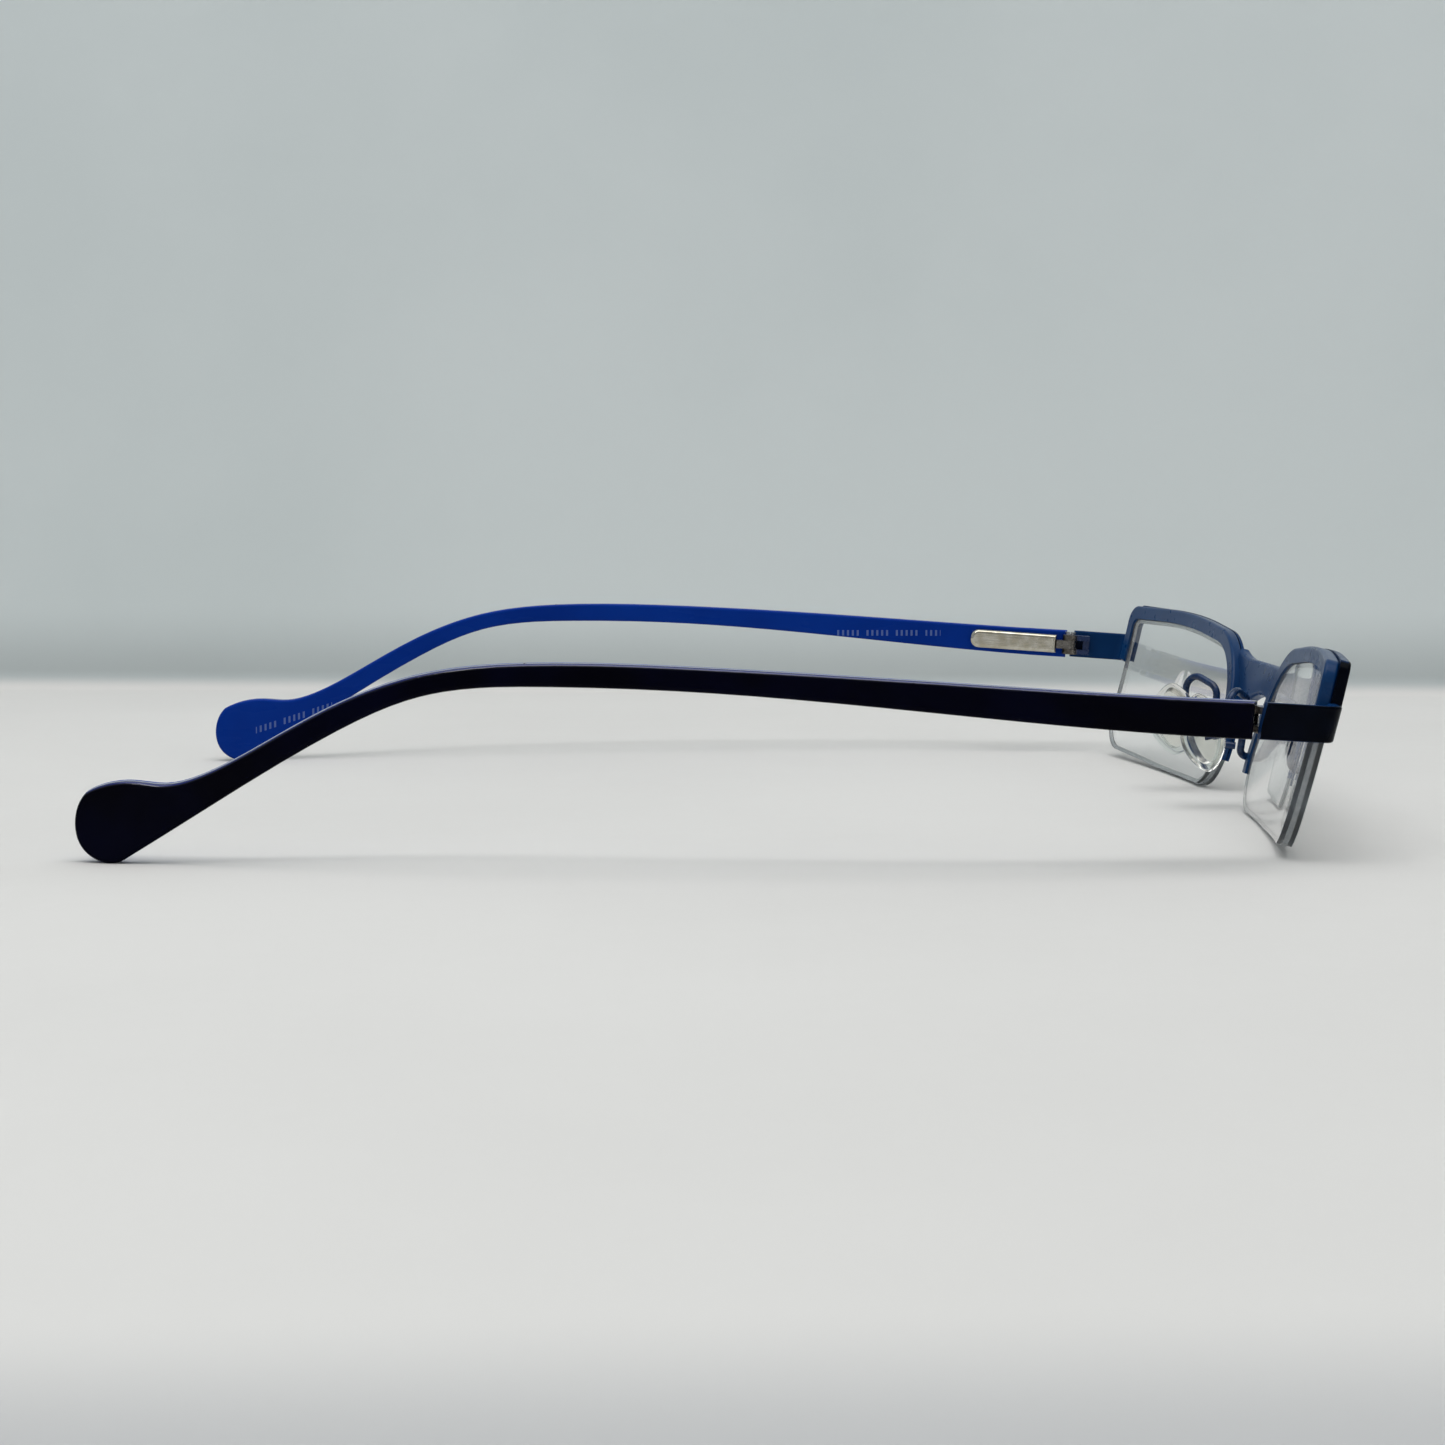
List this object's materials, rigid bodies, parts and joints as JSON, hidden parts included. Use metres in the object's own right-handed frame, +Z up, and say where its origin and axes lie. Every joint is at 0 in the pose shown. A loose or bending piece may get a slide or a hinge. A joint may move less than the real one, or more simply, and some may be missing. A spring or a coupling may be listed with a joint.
{
  "type": "eyeglasses",
  "caption": "Semi-rimless rectangular eyeglasses with a metal half rim, clear lenses held by nylon cord, sprung folding temples and adjustable nose pads.",
  "frame": {"origin": "bottom centre of the bounding box, on the surface the open glasses stand on", "axes": "+Z up, the front faces -Y, the open temples run towards +Y, the wearer's left is +X; the glasses mirror across X = 0"},
  "size_m": [0.1374, 0.152, 0.0236],
  "materials": {
    "front_metal": "satin blue lacquer",
    "end_piece_paint": "gloss navy lacquer",
    "lens": "clear polished",
    "nylon": "clear nylon",
    "hinge_metal": "satin lacquer",
    "arm_metal": "satin lacquer",
    "screw": "machined",
    "silicone": "clear soft silicone",
    "pad_core": "clear",
    "spring_steel": "bright",
    "spring_box": "champagne satin",
    "temple_navy": "polished",
    "temple_blue": "polished",
    "core_wire": "drawn"
  },
  "bodies": {
    "front": {"bridge": "front_metal", "rim_left": "front_metal", "rim_plate_left": "end_piece_paint", "lens_left": "lens", "rim_liner_left": "nylon", "lens_cord_left": "nylon", "end_piece_left": "end_piece_paint", "hinge_fork_left": "hinge_metal", "pad_arm_left": "arm_metal", "pad_box_left": "arm_metal", "pad_screw_left": "screw", "rim_right": "front_metal", "rim_plate_right": "end_piece_paint", "lens_right": "lens", "rim_liner_right": "nylon", "lens_cord_right": "nylon", "end_piece_right": "end_piece_paint", "hinge_fork_right": "hinge_metal", "pad_arm_right": "arm_metal", "pad_box_right": "arm_metal", "pad_screw_right": "screw"},
    "pad_left": {"nose_pad_left": "silicone", "pad_core_left": "pad_core"},
    "hinge_pin_left": {"hinge_screw_left": "screw"},
    "slide_left": {"hinge_slide_left": "hinge_metal", "spring_stop_left": "spring_steel", "coil_spring_left": "spring_steel"},
    "temple_left": {"spring_box_left": "spring_box", "temple_outer_left": "temple_navy", "temple_inner_left": "temple_blue", "temple_core_left": "core_wire"},
    "pad_right": {"nose_pad_right": "silicone", "pad_core_right": "pad_core"},
    "hinge_pin_right": {"hinge_screw_right": "screw"},
    "slide_right": {"hinge_slide_right": "hinge_metal", "spring_stop_right": "spring_steel", "coil_spring_right": "spring_steel"},
    "temple_right": {"spring_box_right": "spring_box", "temple_outer_right": "temple_navy", "temple_inner_right": "temple_blue", "temple_core_right": "core_wire"}
  },
  "joints": [
    {"name": "flex_left", "type": "hinge", "parent": "front", "child": "hinge_pin_left", "pos_m": [0.06292, -0.05746, 0.01703], "axis": [-0.0053, -0.0678, 0.9977], "range_deg": [-12, 0], "stiffness_Nm_per_rad": 0.15, "springref_deg": 2.29},
    {"name": "flex_right", "type": "hinge", "parent": "front", "child": "hinge_pin_right", "pos_m": [-0.06292, -0.05746, 0.01703], "axis": [-0.0053, 0.0678, -0.9977], "range_deg": [-12, 0], "stiffness_Nm_per_rad": 0.15, "springref_deg": 2.29},
    {"name": "fold_left", "type": "hinge", "parent": "hinge_pin_left", "child": "slide_left", "pos_m": [0.06292, -0.05746, 0.01703], "axis": [-0.0053, -0.0678, 0.9977], "range_deg": [0, 87]},
    {"name": "fold_right", "type": "hinge", "parent": "hinge_pin_right", "child": "slide_right", "pos_m": [-0.06292, -0.05746, 0.01703], "axis": [-0.0053, 0.0678, -0.9977], "range_deg": [0, 82]},
    {"name": "spring_travel_left", "type": "slide", "parent": "slide_left", "child": "temple_left", "axis": [0.0783, 0.9946, 0.068], "range_m": [0, 0.0009], "deforming": ["coil_spring_left"]},
    {"name": "spring_travel_right", "type": "slide", "parent": "slide_right", "child": "temple_right", "axis": [-0.0783, 0.9946, 0.068], "range_m": [0, 0.0009], "deforming": ["coil_spring_right"]},
    {"name": "pad_rock_left", "type": "hinge", "parent": "front", "child": "pad_left", "pos_m": [0.01126, -0.0645, 0.01057], "axis": [0.4695, 0.8829, 0], "range_deg": [-12, 12]},
    {"name": "pad_rock_right", "type": "hinge", "parent": "front", "child": "pad_right", "pos_m": [-0.01126, -0.0645, 0.01057], "axis": [0.4695, -0.8829, 0], "range_deg": [-12, 12]}
  ],
  "couplings": [
    {"joint": "spring_travel_left", "follows": "flex_left", "m_per_rad": -0.00428},
    {"joint": "spring_travel_right", "follows": "flex_right", "m_per_rad": -0.00428}
  ]
}
